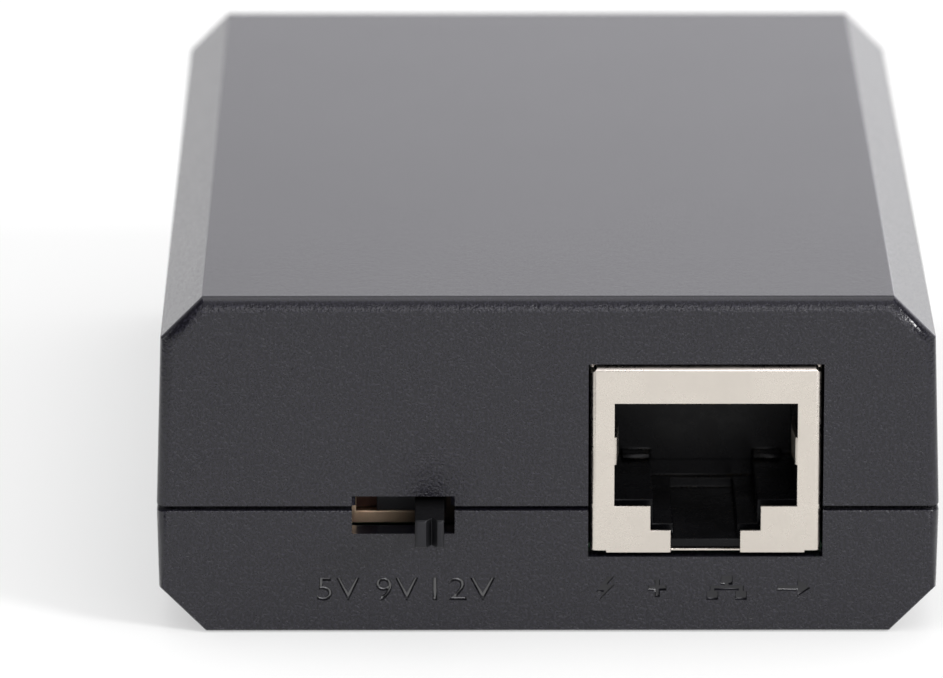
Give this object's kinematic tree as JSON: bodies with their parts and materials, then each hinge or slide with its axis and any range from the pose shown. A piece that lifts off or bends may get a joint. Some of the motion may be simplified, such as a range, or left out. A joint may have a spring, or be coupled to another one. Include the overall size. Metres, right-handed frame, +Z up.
{
  "type": "power over ethernet splitter",
  "caption": "Flat chamfered plastic box with a shielded modular jack at each end, a round DC outlet and a three-position voltage slide switch.",
  "frame": {"origin": "centre of the case's footprint, on the surface that it stands on", "axes": "+X to the right and +Y away, seen from the switch end; +Z up"},
  "size_m": [0.054, 0.0853, 0.024],
  "materials": {
    "case_plastic": "fine spark-eroded texture",
    "screw_steel": "zinc plated",
    "board_laminate": "green solder mask",
    "shield_metal": "satin nickel plate",
    "jack_plastic": "smooth black",
    "contact_gold": "gold plate",
    "outlet_plastic": "smooth black",
    "outlet_metal": "nickel plate",
    "switch_metal": "dull plated",
    "switch_laminate": "brown phenolic laminate",
    "knob_plastic": "smooth satin black",
    "terminal_metal": "tinned",
    "ferrite": "ground ferrite",
    "bobbin_plastic": "moulded",
    "winding_tape": "yellow tape",
    "copper_wire": "enamelled wire",
    "ceramic_coating": "blue lacquer",
    "capacitor_sleeve": "dark sleeve",
    "chip_moulding": "moulded"
  },
  "bodies": {
    "case": {"bridge_rectifier_1": "chip_moulding", "bridge_rectifier_2": "chip_moulding", "case_screw_1": "screw_steel", "case_screw_2": "screw_steel", "case_screw_3": "screw_steel", "case_screw_4": "screw_steel", "circuit_board": "board_laminate", "dc_jack_body": "outlet_plastic", "dc_jack_pin": "outlet_metal", "dc_jack_spring": "outlet_metal", "dc_jack_terminal": "outlet_metal", "inductor_coil": "copper_wire", "inductor_core": "ferrite", "input_capacitor": "capacitor_sleeve", "input_jack_contact_1": "contact_gold", "input_jack_contact_2": "contact_gold", "input_jack_contact_3": "contact_gold", "input_jack_contact_4": "contact_gold", "input_jack_contact_5": "contact_gold", "input_jack_contact_6": "contact_gold", "input_jack_contact_7": "contact_gold", "input_jack_contact_8": "contact_gold", "input_jack_insulator": "jack_plastic", "input_jack_shield": "shield_metal", "lan_magnetics": "chip_moulding", "lower_shell": "case_plastic", "optocoupler": "chip_moulding", "output_capacitor_1": "capacitor_sleeve", "output_capacitor_2": "capacitor_sleeve", "output_diode": "chip_moulding", "output_jack_contact_1": "contact_gold", "output_jack_contact_2": "contact_gold", "output_jack_contact_3": "contact_gold", "output_jack_contact_4": "contact_gold", "output_jack_contact_5": "contact_gold", "output_jack_contact_6": "contact_gold", "output_jack_contact_7": "contact_gold", "output_jack_contact_8": "contact_gold", "output_jack_insulator": "jack_plastic", "output_jack_shield": "shield_metal", "power_device_controller": "chip_moulding", "safety_capacitor": "ceramic_coating", "switch_base": "switch_laminate", "switch_frame": "switch_metal", "switch_terminal_1": "terminal_metal", "switch_terminal_2": "terminal_metal", "switch_terminal_3": "terminal_metal", "switch_terminal_4": "terminal_metal", "switching_transistor": "chip_moulding", "transformer_bobbin": "bobbin_plastic", "transformer_core_back": "ferrite", "transformer_core_front": "ferrite", "transformer_winding": "winding_tape", "upper_shell": "case_plastic"},
    "voltage_slider": {"switch_knob": "knob_plastic", "switch_wiper": "terminal_metal"}
  },
  "joints": [
    {"name": "voltage_slide", "type": "slide", "parent": "case", "child": "voltage_slider", "axis": [1, 0, 0], "range_m": [-0.004, 0]}
  ]
}
